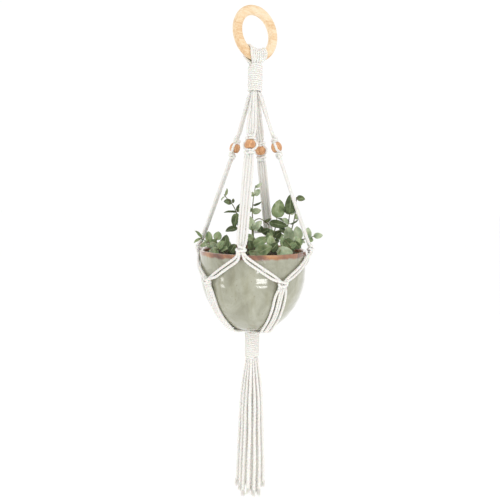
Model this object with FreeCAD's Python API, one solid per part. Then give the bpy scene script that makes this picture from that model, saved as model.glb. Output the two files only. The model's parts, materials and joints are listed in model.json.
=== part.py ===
import FreeCAD, Part
import math
import os

# Hanging macrame planter. Millimetres, +Z up.
# The origin is the hook seat: the lowest point inside the top of the wooden ring.
# The ring lies in the XZ plane. Four sennits, of four cords each, run down to a glazed bowl.

# Wooden ring
ring_mid_r = 33.0
ring_section_r = 7.0

# Twisted cotton cord
cord_d = 4.0
cord_gap = 0.1
arc_share = 0.45
wrap_cord_d = 3.1
core_r = 7.5
skin_gap = 0.1

# Loops over the ring
loop_count = 8
loop_clear = 0.5
loop_leg = 2.0
neck_half_y = 9.5
neck_half_x = 8.2
joint_gap = 0.3

# Wraps
top_wrap_drop = 6.0
top_wrap_turns = 13
bottom_wrap_turns = 13
wrap_r = 10.7
swing_depth = 16.0

# Sennits
sennit_angles = (34.0, 130.0, 222.0, 310.0)
bead_drop = 82.0
bead_inset = (4.3, 4.3, 3.6, 1.0)
tie_half_span = 4.6
rim_knot_share = (4.25, 2.5, 2.75)
rim_knot_clear = 0.5
rim_knot_above = (4.5, 0.5, 8.0, 3.5)

# Beads and the knots that hold them
bead_r = 8.0
bead_end_r = 5.8
bead_length = 13.0
bead_clear = 0.4
tie_knot_share = (4.25, 2.5, 2.125)
worker_clear = 1.0
worker_tuck = 0.55

# Bowl
rim_drop = 233.8
rim_r = 80.0
shoulder_r = 78.5
shoulder_drop = 32.5
foot_r = 36.0
bowl_height = 113.5
bowl_wall = 5.0
rim_round = 2.2
foam_drop = 9.0
foam_clear = 0.3

# Cradle under the bowl
cradle_angles = (85.0, 184.0, 261.5, 355.0)
cradle_knot_drop = 39.0
cradle_knot_share = (4.35, 2.25, 2.75)
cradle_gap = 1.8
drop_gap = 0.27
gather_share = 3.2
gather_height = 6.2
gather_gap = 4.5

# Tassel
neck_thick = 2.5
strand_levels = (0.0, 24.0, 60.0, 104.0, 150.0, 196.0)

# Eucalyptus
stem_d = 2.2
leaf_thick = 1.0
far_off = 400.0

V = FreeCAD.Vector
Z = V(0, 0, 1)
parts = {}


def turned(points, angle):
    """Point list to vectors, turned about the vertical axis."""
    spin = FreeCAD.Rotation(Z, angle)
    return [spin.multVec(V(*point)) for point in points]


def tube(points, diameter):
    """Round cord along straight runs that are joined by tangent arcs."""
    edges = []
    start = points[0]
    for index in range(1, len(points) - 1):
        corner = points[index]
        back = points[index - 1] - corner
        ahead = points[index + 1] - corner
        run = min(back.Length, ahead.Length)
        half_turn = (math.pi - back.getAngle(ahead)) / 2
        reach = arc_share * run
        back.normalize()
        ahead.normalize()
        enter = corner + back * reach
        leave = corner + ahead * reach
        middle = corner + (back + ahead).normalize() * (
            reach / math.tan(half_turn) * (1 / math.cos(half_turn) - 1))
        edges.append(Part.LineSegment(start, enter).toShape())
        edges.append(Part.Arc(enter, middle, leave).toShape())
        start = leave
    edges.append(Part.LineSegment(start, points[-1]).toShape())
    path = Part.Wire(edges)
    section = Part.Wire([Part.makeCircle(diameter / 2, points[0], points[1] - points[0])])
    return path.makePipeShell([section], True, False), path.Length


def arc_radii(points):
    """Radius of each arc of a tube whose arcs are as large as the runs allow."""
    radii = []
    for index in range(1, len(points) - 1):
        back = points[index - 1] - points[index]
        ahead = points[index + 1] - points[index]
        half_turn = (math.pi - back.getAngle(ahead)) / 2
        radii.append(arc_share * min(back.Length, ahead.Length) / math.tan(half_turn))
    return radii


def rod(start, end, diameter):
    """Straight cord from one point to another."""
    return Part.makeCylinder(diameter / 2, (end - start).Length, start, end - start)


def trimmed(solid, *cutters):
    """The largest solid that is left outside the cutters."""
    for cutter in cutters:
        solid = solid.cut(cutter)
    return max(solid.Solids, key=lambda item: item.Volume)


def block(size, centre, across, along, fillet):
    """Rounded knot body: width lies across, height lies along."""
    width, depth, height = size
    box = Part.makeBox(width, depth, height, V(-width / 2, -depth / 2, -height / 2))
    box = box.makeFillet(fillet, box.Edges)
    outward = across.cross(along)
    box.Placement = FreeCAD.Placement(centre, FreeCAD.Rotation(across, outward, along, "ZXY"))
    return box


def turned_solid(edges):
    """Solid of revolution about Z from a closed outline in the XZ plane."""
    return Part.Face(Part.Wire(edges)).revolve(V(0, 0, 0), Z, 360)


def line(r1, z1, r2, z2):
    return Part.LineSegment(V(r1, 0, z1), V(r2, 0, z2)).toShape()


def arc(r1, z1, rm, zm, r2, z2):
    return Part.Arc(V(r1, 0, z1), V(rm, 0, zm), V(r2, 0, z2)).toShape()


# Levels and radii that follow from the driving dimensions
ring_centre_z = -(ring_mid_r - ring_section_r)
top_wrap_z = ring_centre_z - ring_mid_r - ring_section_r - top_wrap_drop
cord_pitch = cord_d + cord_gap
drop_pitch = cord_d + drop_gap
gather_r = gather_share * drop_pitch

# A knot is as large as the cord makes it: its width, depth and height are multiples of the cord
rim_knot_size = tuple(share * cord_d for share in rim_knot_share)
tie_knot_size = tuple(share * cord_d for share in tie_knot_share)
cradle_knot_size = tuple(share * cord_d for share in cradle_knot_share)
top_core_end_z = top_wrap_z - top_wrap_turns * wrap_cord_d
rim_z = top_core_end_z - rim_drop
swing_z = top_wrap_z - swing_depth
swing_r = math.hypot(wrap_r, swing_depth)
bowl_base_z = rim_z - bowl_height
gather_z = bowl_base_z - gather_gap
bottom_wrap_z = gather_z - gather_height
bottom_wrap_end_z = bottom_wrap_z - bottom_wrap_turns * wrap_cord_d
tassel_z = bottom_wrap_end_z + swing_depth
neck_inner_r = swing_r + joint_gap
neck_outer_r = neck_inner_r + neck_thick
strand_top_z = tassel_z - neck_outer_r - joint_gap


def make_ring():
    ring = Part.makeTorus(ring_mid_r, ring_section_r, V(0, 0, ring_centre_z), V(0, 1, 0))
    parts["wooden_ring"] = [ring]


def make_loops():
    """Eight folded cords over the ring, and the gathered strands between ring and wrap."""
    fold_r = ring_section_r + loop_clear + cord_d / 2
    inner_r = ring_mid_r - fold_r
    step = 2 * math.asin(cord_pitch / (2 * inner_r))
    leg_r = ring_mid_r + loop_leg
    solids = []
    for index in range(loop_count):
        angle = (index - (loop_count - 1) / 2) * step
        down = V(math.sin(angle), 0, -math.cos(angle))
        centre = V(0, 0, ring_centre_z)
        near = V(0, -fold_r, 0)
        path = Part.Wire([
            Part.LineSegment(centre + down * leg_r + near, centre + down * ring_mid_r + near).toShape(),
            Part.Arc(centre + down * ring_mid_r + near, centre + down * inner_r,
                     centre + down * ring_mid_r - near).toShape(),
            Part.LineSegment(centre + down * ring_mid_r - near, centre + down * leg_r - near).toShape()])
        section = Part.Wire([Part.makeCircle(cord_d / 2, centre + down * leg_r + near, down)])
        solids.append(path.makePipeShell([section], True, False))
    spread = (loop_count - 1) / 2 * step
    wide = leg_r * math.sin(spread) + cord_d / 2
    high_z = ring_centre_z - leg_r * math.cos(spread) + cord_d
    low_z = top_wrap_z + cord_d / 2
    deep = fold_r + cord_d / 2

    def frame(half_x, half_y, z):
        corners = [V(-half_x, -half_y, z), V(half_x, -half_y, z), V(half_x, half_y, z), V(-half_x, half_y, z)]
        return Part.makePolygon(corners + corners[:1])

    neck = Part.makeLoft([frame(wide, deep, high_z), frame(neck_half_x, neck_half_y, low_z)], True, True)
    hollow = Part.makeCylinder(leg_r + skin_gap, 4 * deep, V(0, -2 * deep, ring_centre_z), V(0, 1, 0))
    bar = Part.makeTorus(ring_mid_r, ring_section_r + loop_clear, V(0, 0, ring_centre_z), V(0, 1, 0))
    ball = Part.makeSphere(swing_r + joint_gap, V(0, 0, swing_z))
    solids.append(trimmed(neck, hollow, bar, ball))
    parts["ring_loops"] = solids


def wrap(start_z, turns):
    """Wound cord as one sleeve with a round bead for each turn."""
    inner = core_r + skin_gap
    outline_r = wrap_r - wrap_cord_d / 2
    end_z = start_z - turns * wrap_cord_d
    edges = [line(inner, end_z, inner, start_z), line(inner, start_z, outline_r, start_z)]
    for turn in range(turns):
        z = start_z - turn * wrap_cord_d
        edges.append(arc(outline_r, z, wrap_r, z - wrap_cord_d / 2, outline_r, z - wrap_cord_d))
    edges.append(line(outline_r, end_z, inner, end_z))
    return turned_solid(edges)


def make_top_wrap():
    cap_z = swing_z + math.sqrt(swing_r ** 2 - core_r ** 2)
    cap_mid = math.asin(core_r / swing_r) / 2
    core = turned_solid([
        line(0, top_core_end_z, core_r, top_core_end_z),
        line(core_r, top_core_end_z, core_r, cap_z),
        arc(core_r, cap_z, swing_r * math.sin(cap_mid), swing_z + swing_r * math.cos(cap_mid),
            0, swing_z + swing_r),
        line(0, swing_z + swing_r, 0, top_core_end_z)])
    parts["top_wrap"] = [wrap(top_wrap_z, top_wrap_turns)]
    parts["top_core"] = [core]


def bowl_outer_r(z):
    """Outer radius of the bowl at a height."""
    shoulder_z = rim_z - shoulder_drop
    if z > shoulder_z:
        return shoulder_r + (rim_r - shoulder_r) * (z - shoulder_z) / shoulder_drop
    return bowl_arc_x + math.sqrt(bowl_arc_r ** 2 - (z - shoulder_z) ** 2)


# The wall below the shoulder is one arc, level with the shoulder, that ends at the foot.
bowl_fall = bowl_height - shoulder_drop
bowl_inset = shoulder_r - foot_r
bowl_arc_r = (bowl_inset ** 2 + bowl_fall ** 2) / (2 * bowl_inset)
bowl_arc_x = shoulder_r - bowl_arc_r


def on_bowl_arc(radius, angle):
    """Point at an angle below the shoulder on a circle about the wall arc's centre."""
    return bowl_arc_x + radius * math.cos(angle), rim_z - shoulder_drop - radius * math.sin(angle)


def make_bowl():
    foot_angle = math.asin(bowl_fall / bowl_arc_r)
    inner_arc_r = bowl_arc_r - bowl_wall
    floor_z = bowl_base_z + bowl_wall
    floor_angle = math.asin((rim_z - shoulder_drop - floor_z) / inner_arc_r)
    shoulder_z = rim_z - shoulder_drop
    inner_rim = rim_r - bowl_wall
    outer_mid = on_bowl_arc(bowl_arc_r, foot_angle / 2)
    inner_mid = on_bowl_arc(inner_arc_r, floor_angle / 2)
    floor_r = on_bowl_arc(inner_arc_r, floor_angle)[0]
    bowl = turned_solid([
        line(0, floor_z, 0, bowl_base_z),
        line(0, bowl_base_z, foot_r, bowl_base_z),
        arc(foot_r, bowl_base_z, outer_mid[0], outer_mid[1], shoulder_r, shoulder_z),
        line(shoulder_r, shoulder_z, rim_r, rim_z),
        line(rim_r, rim_z, inner_rim, rim_z),
        line(inner_rim, rim_z, shoulder_r - bowl_wall, shoulder_z),
        arc(shoulder_r - bowl_wall, shoulder_z, inner_mid[0], inner_mid[1], floor_r, floor_z),
        line(floor_r, floor_z, 0, floor_z)])
    rims = [edge for edge in bowl.Edges
            if edge.Closed and abs(edge.BoundBox.ZMin - rim_z) < 0.01 and edge.BoundBox.ZLength < 0.01]
    parts["bowl"] = [bowl.makeFillet(rim_round, rims)]

    fill_arc_r = inner_arc_r - foam_clear
    fill_z = floor_z + foam_clear
    fill_angle = math.asin((shoulder_z - fill_z) / fill_arc_r)
    fill_mid = on_bowl_arc(fill_arc_r, fill_angle / 2)
    fill_r = on_bowl_arc(fill_arc_r, fill_angle)[0]
    top_z = rim_z - foam_drop
    top_r = bowl_outer_r(top_z) - bowl_wall - foam_clear
    side_r = shoulder_r - bowl_wall - foam_clear
    parts["potting_foam"] = [turned_solid([
        line(0, top_z, 0, fill_z),
        line(0, fill_z, fill_r, fill_z),
        arc(fill_r, fill_z, fill_mid[0], fill_mid[1], side_r, shoulder_z),
        line(side_r, shoulder_z, top_r, top_z),
        line(top_r, top_z, 0, top_z)])]


# A sennit runs from the end of the top wrap to its bead, and from there to its knot at the rim of the bowl.
# The bead's weight pulls the sennit inwards by its bead_inset, so the two runs are not in one line.
sennit_top_r = 1.6 * cord_pitch
rim_knot_r = rim_r + rim_knot_clear + rim_knot_size[1] / 2
bead_z = top_core_end_z - bead_drop
tie_span = bead_length / 2 + bead_clear + tie_knot_size[2] / 2


class Run:
    """Local directions of a straight stretch of one sennit: along it, across it and out of it."""

    def __init__(self, radial, across, start, end):
        self.radial = radial
        self.across = across
        self.start = start
        self.length = (end - start).Length
        self.along = (end - start).normalize()
        self.outward = self.across.cross(self.along) * -1

    def at(self, distance, side=0.0, out=0.0):
        return self.start + self.along * distance + self.across * side + self.outward * out


class Sennit:
    """The upper run, the stretch round the bead and the lower run of one sennit."""

    def __init__(self, index):
        index = index % len(sennit_angles)
        self.angle = math.radians(sennit_angles[index])
        self.radial = V(math.cos(self.angle), math.sin(self.angle), 0)
        self.across = V(-math.sin(self.angle), math.cos(self.angle), 0)
        self.rim_knot_z = rim_z + rim_knot_above[index]
        top = self.place(sennit_top_r, top_core_end_z)
        knot = self.place(rim_knot_r, self.rim_knot_z)
        share = bead_drop / (top_core_end_z - self.rim_knot_z)
        self.bead = self.place(sennit_top_r + (rim_knot_r - sennit_top_r) * share - bead_inset[index], bead_z)
        along = ((self.bead - top).normalize() + (knot - self.bead).normalize()).normalize()
        self.middle = Run(self.radial, self.across, self.bead, self.bead + along)
        self.upper = Run(self.radial, self.across, top, self.middle.at(-tie_span))
        self.lower = Run(self.radial, self.across, self.middle.at(tie_span), knot)

    def place(self, radius, z):
        return self.radial * radius + Z * z


def make_sennits():
    """Four bundles of four cords, each with a bead between two tied knots."""
    half = cord_pitch / math.sqrt(2)
    near = cord_pitch / 2
    offsets_top = ((0, -half), (0, half), (-half, 0), (half, 0))
    offsets_low = ((0, -near), (0, near), (-tie_half_span, 0), (tie_half_span, 0))
    ceiling = Part.makeBox(far_off, far_off, far_off, V(-far_off / 2, -far_off / 2, top_core_end_z))
    for index in range(len(sennit_angles)):
        sennit = Sennit(index)
        middle = sennit.middle
        number = index + 1
        knots = [block(tie_knot_size, middle.at(sign * tie_span), middle.across, middle.along, 3.0)
                 for sign in (-1, 1)]
        rim_knot = block(rim_knot_size, sennit.lower.at(sennit.lower.length), middle.across,
                         sennit.lower.along, 3.5)
        parts["rim_knot_%d" % number] = [rim_knot]

        upper = []
        lower = []
        for (side_1, out_1), (side_2, out_2) in zip(offsets_top, offsets_low):
            start = sennit.upper.at(-cord_d, side_1, out_1)
            end = sennit.upper.at(sennit.upper.length, side_2, out_2)
            upper.append(trimmed(rod(start, end, cord_d), ceiling, knots[0]))
            start = sennit.lower.at(0, side_2, out_2)
            end = sennit.lower.at(sennit.lower.length, side_2, out_2)
            lower.append(trimmed(rod(start, end, cord_d), knots[1], rim_knot))
        parts["upper_sennit_%d" % number] = upper
        parts["lower_sennit_%d" % number] = lower

        tie = list(knots)
        for out in (-near, near):
            filler = rod(middle.at(-tie_span, 0, out), middle.at(tie_span, 0, out), cord_d)
            tie.append(trimmed(filler, *knots))
        wide = bead_r + worker_clear + cord_d / 2
        for side in (-1, 1):
            route = [middle.at(-tie_span, side * wide * worker_tuck), middle.at(-tie_span / 3, side * wide),
                     middle.at(tie_span / 3, side * wide), middle.at(tie_span, side * wide * worker_tuck)]
            tie.append(trimmed(tube(route, cord_d)[0], *knots))
        parts["bead_tie_%d" % number] = tie

        hole_r = near + cord_d / 2 + bead_clear
        low, high = -bead_length / 2, bead_length / 2
        bead = turned_solid([
            line(hole_r, low, bead_end_r, low),
            arc(bead_end_r, low, bead_r, 0, bead_end_r, high),
            line(bead_end_r, high, hole_r, high),
            line(hole_r, high, hole_r, low)])
        bead.Placement = FreeCAD.Placement(sennit.bead, FreeCAD.Rotation(Z, middle.along))
        parts["bead_%d" % number] = [bead]
        print("bead_%d axis %.8f %.8f %.8f at %.5f %.5f %.5f" % (number, *middle.along, *sennit.bead))


def make_cradle():
    """Pairs of cords from each rim knot to the knots between them, then down to the gather."""
    knot_z = rim_z - cradle_knot_drop
    knot_r = bowl_outer_r(knot_z) + cradle_gap + cradle_knot_size[1] / 2
    gather_mid_z = gather_z - gather_height / 2
    lane_r = bowl_arc_r + cradle_gap + cord_d / 2
    foot_z = (bowl_base_z + gather_mid_z) / 2
    gather = make_gather()
    for index in range(len(cradle_angles)):
        number = index + 1
        middle = math.radians(cradle_angles[index])
        radial = V(math.cos(middle), math.sin(middle), 0)
        across = V(-math.sin(middle), math.cos(middle), 0)
        knot = block(cradle_knot_size, radial * knot_r + Z * knot_z, across, V(0, 0, -1), 3.0)
        parts["cradle_knot_%d" % number] = [knot]

        arms = []
        for side in (1, -1):
            start = (index + (0 if side > 0 else 1)) % len(sennit_angles)
            sennit = Sennit(start)
            rim_knot = parts["rim_knot_%d" % (start + 1)][0]
            turn = (middle - sennit.angle + math.pi) % (2 * math.pi) - math.pi
            drop = sennit.rim_knot_z - knot_z
            fall = math.atan2(drop, knot_r * abs(turn))
            for lane in (-1, 1):
                shift = lane * cord_pitch / 2
                route = []
                for share in (0, 1 / 3, 2 / 3, 1):
                    angle = sennit.angle + turn * share + side * shift * math.sin(fall) / knot_r
                    radius = rim_knot_r + (knot_r - rim_knot_r) * share
                    z = sennit.rim_knot_z - drop * share + shift * math.cos(fall)
                    route.append(V(radius * math.cos(angle), radius * math.sin(angle), z))
                arms.append(trimmed(tube(route, cord_d)[0], rim_knot, knot))
        parts["cradle_arms_%d" % number] = arms

        drops = []
        for lane in range(4):
            side = (lane - 1.5) * drop_pitch
            outline = [(knot_r, knot_z)]
            for angle in (16, 29, 42):
                outline.append(on_bowl_arc(lane_r, math.radians(angle)))
            outline.append((foot_r + cord_d * 1.4, foot_z))
            outline.append((2 * gather_r, gather_mid_z + 0.6))
            outline.append((gather_r / 2, gather_mid_z))
            route = [radial * r + across * side + Z * z for r, z in outline]
            drops.append(trimmed(tube(route, cord_d)[0], knot, gather))
        parts["cradle_drop_%d" % number] = drops


def make_gather():
    """Strands drawn together under the bowl and carried through the bottom wrap."""
    cap_z = tassel_z - math.sqrt(swing_r ** 2 - core_r ** 2)
    cap_mid = math.asin(core_r / swing_r) / 2
    return turned_solid([
        line(0, gather_z, gather_r, gather_z),
        line(gather_r, gather_z, gather_r, bottom_wrap_z),
        line(gather_r, bottom_wrap_z, core_r, bottom_wrap_z),
        line(core_r, bottom_wrap_z, core_r, cap_z),
        arc(core_r, cap_z, swing_r * math.sin(cap_mid), tassel_z - swing_r * math.cos(cap_mid),
            0, tassel_z - swing_r),
        line(0, tassel_z - swing_r, 0, gather_z)])


def make_bottom_wrap():
    parts["bottom_core"] = [make_gather()]
    parts["bottom_wrap"] = [wrap(bottom_wrap_z, bottom_wrap_turns)]


def make_tassel():
    """Short neck under the wrap, and sixteen loose strands that hang from it."""
    def edge(radius):
        return tassel_z - math.sqrt(radius ** 2 - wrap_r ** 2)

    def cap(radius):
        mid = math.asin(wrap_r / radius) / 2
        return radius * math.sin(mid), tassel_z - radius * math.cos(mid)

    inner_cap = cap(neck_inner_r)
    outer_cap = cap(neck_outer_r)
    parts["tassel_neck"] = [turned_solid([
        line(0, tassel_z - neck_outer_r, 0, tassel_z - neck_inner_r),
        arc(0, tassel_z - neck_inner_r, inner_cap[0], inner_cap[1], wrap_r, edge(neck_inner_r)),
        line(wrap_r, edge(neck_inner_r), wrap_r, edge(neck_outer_r)),
        arc(wrap_r, edge(neck_outer_r), outer_cap[0], outer_cap[1], 0, tassel_z - neck_outer_r)])]

    for index, (tip, points) in enumerate(strands):
        route = [V(x, y, strand_top_z - level) for (x, y), level in zip(points, strand_levels)]
        route[-1] = route[-1] - Z * tip
        solid, length = tube(route, cord_d)
        fill = solid.Volume / (math.pi * cord_d ** 2 / 4 * length)
        radii = arc_radii(route)
        print("tassel_strand_%02d length %.1f volume ratio %.4f radii %s" % (
            index + 1, length, fill, " ".join("%.0f" % radius for radius in radii)))
        parts["tassel_strand_%02d" % (index + 1)] = [solid]


# Sideways place of each strand at the strand levels, and how much lower its tip ends.
strands = [
    (-3.0, [(-6.2, -6.2), (-9.0, -9.4), (-11.8, -11.0), (-12.2, -13.4), (-14.6, -13.0), (-16.4, -15.6)]),
    (2.0, [(-2.1, -6.2), (-3.6, -9.8), (-3.2, -12.6), (-5.4, -14.4), (-5.2, -16.8), (-7.8, -17.2)]),
    (4.0, [(2.1, -6.2), (2.4, -9.9), (4.4, -12.4), (2.8, -15.2), (3.6, -17.0), (1.4, -19.0)]),
    (-5.0, [(6.2, -6.2), (8.6, -9.6), (11.2, -10.8), (10.6, -13.6), (12.2, -15.2), (10.4, -17.8)]),
    (3.0, [(-6.2, -2.1), (-9.6, -3.0), (-12.8, -3.4), (-14.8, -5.2), (-16.4, -4.8), (-19.4, -6.8)]),
    (-2.0, [(-2.1, -2.1), (-3.0, -3.2), (-4.8, -4.2), (-4.6, -6.6), (-6.8, -7.4), (-7.4, -9.8)]),
    (5.0, [(2.1, -2.1), (3.2, -3.4), (3.6, -5.0), (5.4, -6.4), (4.0, -8.0), (5.0, -10.6)]),
    (-6.0, [(6.2, -2.1), (9.6, -3.4), (12.4, -3.2), (14.6, -5.4), (14.4, -6.4), (17.4, -8.2)]),
    (1.0, [(-6.2, 2.1), (-9.4, 3.2), (-12.2, 4.8), (-13.4, 3.8), (-15.8, 4.8), (-17.0, 3.4)]),
    (-4.0, [(-2.1, 2.1), (-3.4, 3.6), (-3.8, 5.4), (-5.4, 4.2), (-5.6, 2.8), (-8.2, 1.6)]),
    (3.0, [(2.1, 2.1), (3.6, 3.2), (5.0, 4.6), (4.4, 3.6), (6.4, 2.6), (6.0, 0.2)]),
    (-8.0, [(6.2, 2.1), (9.4, 3.6), (12.0, 5.4), (14.0, 4.2), (17.6, 4.8), (22.8, 3.0)]),
    (-1.0, [(-6.2, 6.2), (-9.2, 9.2), (-10.8, 12.0), (-13.0, 12.4), (-13.4, 14.4), (-15.4, 14.0)]),
    (4.0, [(-2.1, 6.2), (-3.2, 9.8), (-4.8, 12.8), (-4.2, 13.4), (-6.2, 14.8), (-5.8, 16.2)]),
    (0.0, [(2.1, 6.2), (3.4, 9.6), (3.8, 12.8), (5.6, 13.2), (4.8, 15.0), (6.8, 15.4)]),
    (-3.0, [(6.2, 6.2), (9.2, 9.2), (12.0, 11.6), (13.4, 12.8), (13.6, 14.6), (15.6, 13.6)]),
]

# Each sprig: stem foot (angle, radius), stem tip (angle, radius, height over the rim), leaf radius,
# and the shares of the stem where a pair of leaves sits.
sprigs = {
    "eucalyptus_left": [
        ((150, 20), (158, 40, 66), 7.0, (0.4, 0.65, 0.9)),
        ((165, 46), (176, 70, 24), 6.5, (0.45, 0.9)),
        ((196, 30), (192, 54, 34), 7.0, (0.5, 0.9)),
    ],
    "eucalyptus_right": [
        ((262, 24), (270, 46, 34), 7.0, (0.5, 0.9)),
        ((282, 48), (279, 72, 24), 6.5, (0.45, 0.95)),
        ((345, 34), (345, 58, 44), 6.5, (0.35, 0.62, 0.9)),
        ((320, 10), (330, 22, 76), 6.5, (0.42, 0.66, 0.9)),
    ],
    "eucalyptus_back": [
        ((60, 22), (75, 36, 60), 6.5, (0.38, 0.64, 0.9)),
        ((15, 46), (10, 70, 30), 6.5, (0.45, 0.9)),
        ((100, 46), (96, 70, 28), 6.5, (0.45, 0.9)),
    ],
}


def make_plants():
    """Stems that stand in the foam, with thin round leaves in pairs."""
    foam_z = rim_z - foam_drop
    for name, stems in sprigs.items():
        solids = []
        for (foot_angle, foot), (tip_angle, tip, height), leaf_r, shares in stems:
            start = turned([(foot, 0, foam_z)], foot_angle)[0]
            end = turned([(tip, 0, rim_z + height)], tip_angle)[0]
            lean = end - start
            stem = rod(start, end, stem_d)
            spread = lean.cross(Z).normalize()
            face = lean.cross(spread).normalize() * -1
            stem = trimmed(stem, Part.makeBox(far_off, far_off, far_off, V(-far_off / 2, -far_off / 2, foam_z - far_off)))
            solids.append(stem)
            for share in shares:
                for side in (-1, 1):
                    centre = start + lean * share + spread * (side * (leaf_r + stem_d / 2 + skin_gap))
                    solids.append(Part.makeCylinder(leaf_r, leaf_thick, centre - face * (leaf_thick / 2), face))
        parts[name] = solids


make_ring()
make_loops()
make_top_wrap()
make_sennits()
make_bowl()
make_cradle()
make_bottom_wrap()
make_tassel()
make_plants()

os.makedirs("parts", exist_ok=True)
for name, solids in parts.items():
    shape = solids[0] if len(solids) == 1 else Part.makeCompound(solids)
    if not shape.isValid():
        raise ValueError("not a valid shape: " + name)
    shape.exportStep("parts/%s.step" % name)
print("nodes", len(parts), "solids", sum(len(solids) for solids in parts.values()))
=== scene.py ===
import bpy
import json
import math
import random
import numpy as np
from mathutils import Matrix, Vector


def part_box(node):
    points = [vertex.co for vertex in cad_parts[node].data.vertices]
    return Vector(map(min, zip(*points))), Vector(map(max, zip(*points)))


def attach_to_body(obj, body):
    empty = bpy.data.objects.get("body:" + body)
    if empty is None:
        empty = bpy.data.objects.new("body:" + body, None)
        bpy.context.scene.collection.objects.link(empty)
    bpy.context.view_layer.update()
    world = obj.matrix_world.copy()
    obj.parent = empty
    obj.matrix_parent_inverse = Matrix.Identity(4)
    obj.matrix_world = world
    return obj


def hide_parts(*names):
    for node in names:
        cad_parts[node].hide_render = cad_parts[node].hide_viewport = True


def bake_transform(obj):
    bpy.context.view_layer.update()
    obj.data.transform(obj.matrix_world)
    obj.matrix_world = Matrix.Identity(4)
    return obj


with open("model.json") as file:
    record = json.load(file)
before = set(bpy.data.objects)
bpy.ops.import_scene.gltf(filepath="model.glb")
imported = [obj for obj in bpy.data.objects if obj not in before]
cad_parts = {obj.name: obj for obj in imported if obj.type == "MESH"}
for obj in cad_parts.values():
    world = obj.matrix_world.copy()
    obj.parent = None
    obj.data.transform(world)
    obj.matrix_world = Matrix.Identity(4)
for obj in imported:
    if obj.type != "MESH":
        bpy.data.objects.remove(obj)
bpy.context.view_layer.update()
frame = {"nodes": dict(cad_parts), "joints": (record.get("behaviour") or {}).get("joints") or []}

joints = {joint["name"]: joint for joint in frame["joints"]}
scene = bpy.context.scene
random.seed(7)
print("frame loaded", len(frame["nodes"]), "nodes")

# Camera: level with the beads' lower knots, a little to the left of the ring's face

cameraSet = {"azimuth": -37.0, "distance": 0.663, "height": -0.275, "pitch": 2.1, "focal": 31.8,
             "shiftY": -0.064, "aside": -0.0052, "roll": 0.65}


def addCamera(s):
    turn = math.radians(s["azimuth"])
    away = Vector((math.sin(turn), -math.cos(turn), 0))
    right = Vector((math.cos(turn), math.sin(turn), 0))
    data = bpy.data.cameras.new("studioCamera")
    data.sensor_width = 36
    data.lens = s["focal"]
    data.shift_y = s["shiftY"]
    camera = bpy.data.objects.new("studioCamera", data)
    scene.collection.objects.link(camera)
    camera.location = away * s["distance"] + right * s["aside"] + Vector((0, 0, s["height"]))
    tilt = Matrix.Rotation(math.radians(90 - s["pitch"]), 3, "X")
    roll = Matrix.Rotation(math.radians(s["roll"]), 3, "Z")
    camera.rotation_euler = (Matrix.Rotation(turn, 3, "Z") @ (tilt @ roll)).to_euler()
    scene.camera = camera


addCamera(cameraSet)

# Small tools


def toLinear(hexColour):
    channels = [int(hexColour[i:i + 2], 16) / 255 for i in (1, 3, 5)]
    return tuple(c / 12.92 if c <= 0.04045 else ((c + 0.055) / 1.055) ** 2.4 for c in channels) + (1.0,)


def addNode(tree, kind, settings):
    # a setting is a constant for an input, an output to link to it, or a property of the node
    node = tree.nodes.new(kind)
    for key, value in settings.items():
        if isinstance(value, bpy.types.NodeSocket):
            tree.links.new(value, node.inputs[key])
        elif isinstance(key, int) or key in node.inputs:
            node.inputs[key].default_value = value
        else:
            setattr(node, key, value)
    return node


def addNoise(tree, place, scale, detail, roughness=0.5, distortion=0.0):
    node = addNode(tree, "ShaderNodeTexNoise", {"Vector": place, "Scale": scale, "Detail": detail,
                                                "Roughness": roughness, "Distortion": distortion})
    return node.outputs["Fac"]


def addRamp(tree, value, *stops):
    node = addNode(tree, "ShaderNodeValToRGB", {"Fac": value})
    for index, (place, colour) in enumerate(stops):
        elements = node.color_ramp.elements
        stop = elements[index] if index < 2 else elements.new(place)
        stop.position = place
        stop.color = toLinear(colour)
    return node.outputs["Color"]


def addStretch(tree, place, scale, rotation=(0, 0, 0)):
    node = addNode(tree, "ShaderNodeMapping", {"Vector": place, "Rotation": rotation, "Scale": scale})
    return node.outputs[0]


def addRange(tree, value, start, end, first=0.0, last=1.0):
    return addNode(tree, "ShaderNodeMapRange", {"Value": value, "From Min": start, "From Max": end,
                                                "To Min": first, "To Max": last}).outputs[0]


def addMath(tree, operation, *values):
    return addNode(tree, "ShaderNodeMath", {"operation": operation, **dict(enumerate(values))}).outputs[0]


def addMix(tree, share, below, above, blend="MIX"):
    return addNode(tree, "ShaderNodeMix", {"data_type": "RGBA", "blend_type": blend, 0: share,
                                           6: below, 7: above}).outputs[2]


def addBump(tree, height, strength, distance, invert=False):
    return addNode(tree, "ShaderNodeBump", {"Height": height, "Strength": strength, "Distance": distance,
                                            "invert": invert}).outputs[0]


def newMaterial(name):
    material = bpy.data.materials.new(name)
    material.use_nodes = True
    material.node_tree.nodes.clear()
    return material, material.node_tree


def solidPlace(tree):
    return addNode(tree, "ShaderNodeTexCoord", {}).outputs["Object"]


def flatPlace(tree):
    return addNode(tree, "ShaderNodeUVMap", {"uv_map": "UVMap"}).outputs[0]


def finishMaterial(material, settings):
    shader = addNode(material.node_tree, "ShaderNodeBsdfPrincipled", settings)
    addNode(material.node_tree, "ShaderNodeOutputMaterial", {"Surface": shader.outputs[0]})
    return material


def newMesh(name, verts, faces, material, uvs=None):
    mesh = bpy.data.meshes.new(name)
    mesh.from_pydata(verts, [], faces)
    if uvs is not None:
        layer = mesh.uv_layers.new(name="UVMap")
        layer.data.foreach_set("uv", np.asarray(uvs, dtype=np.float32).ravel())
    mesh.materials.append(material)
    mesh.update()
    mesh.polygons.foreach_set("use_smooth", [True] * len(mesh.polygons))
    piece = bpy.data.objects.new(name, mesh)
    scene.collection.objects.link(piece)
    return piece


# Materials


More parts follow.
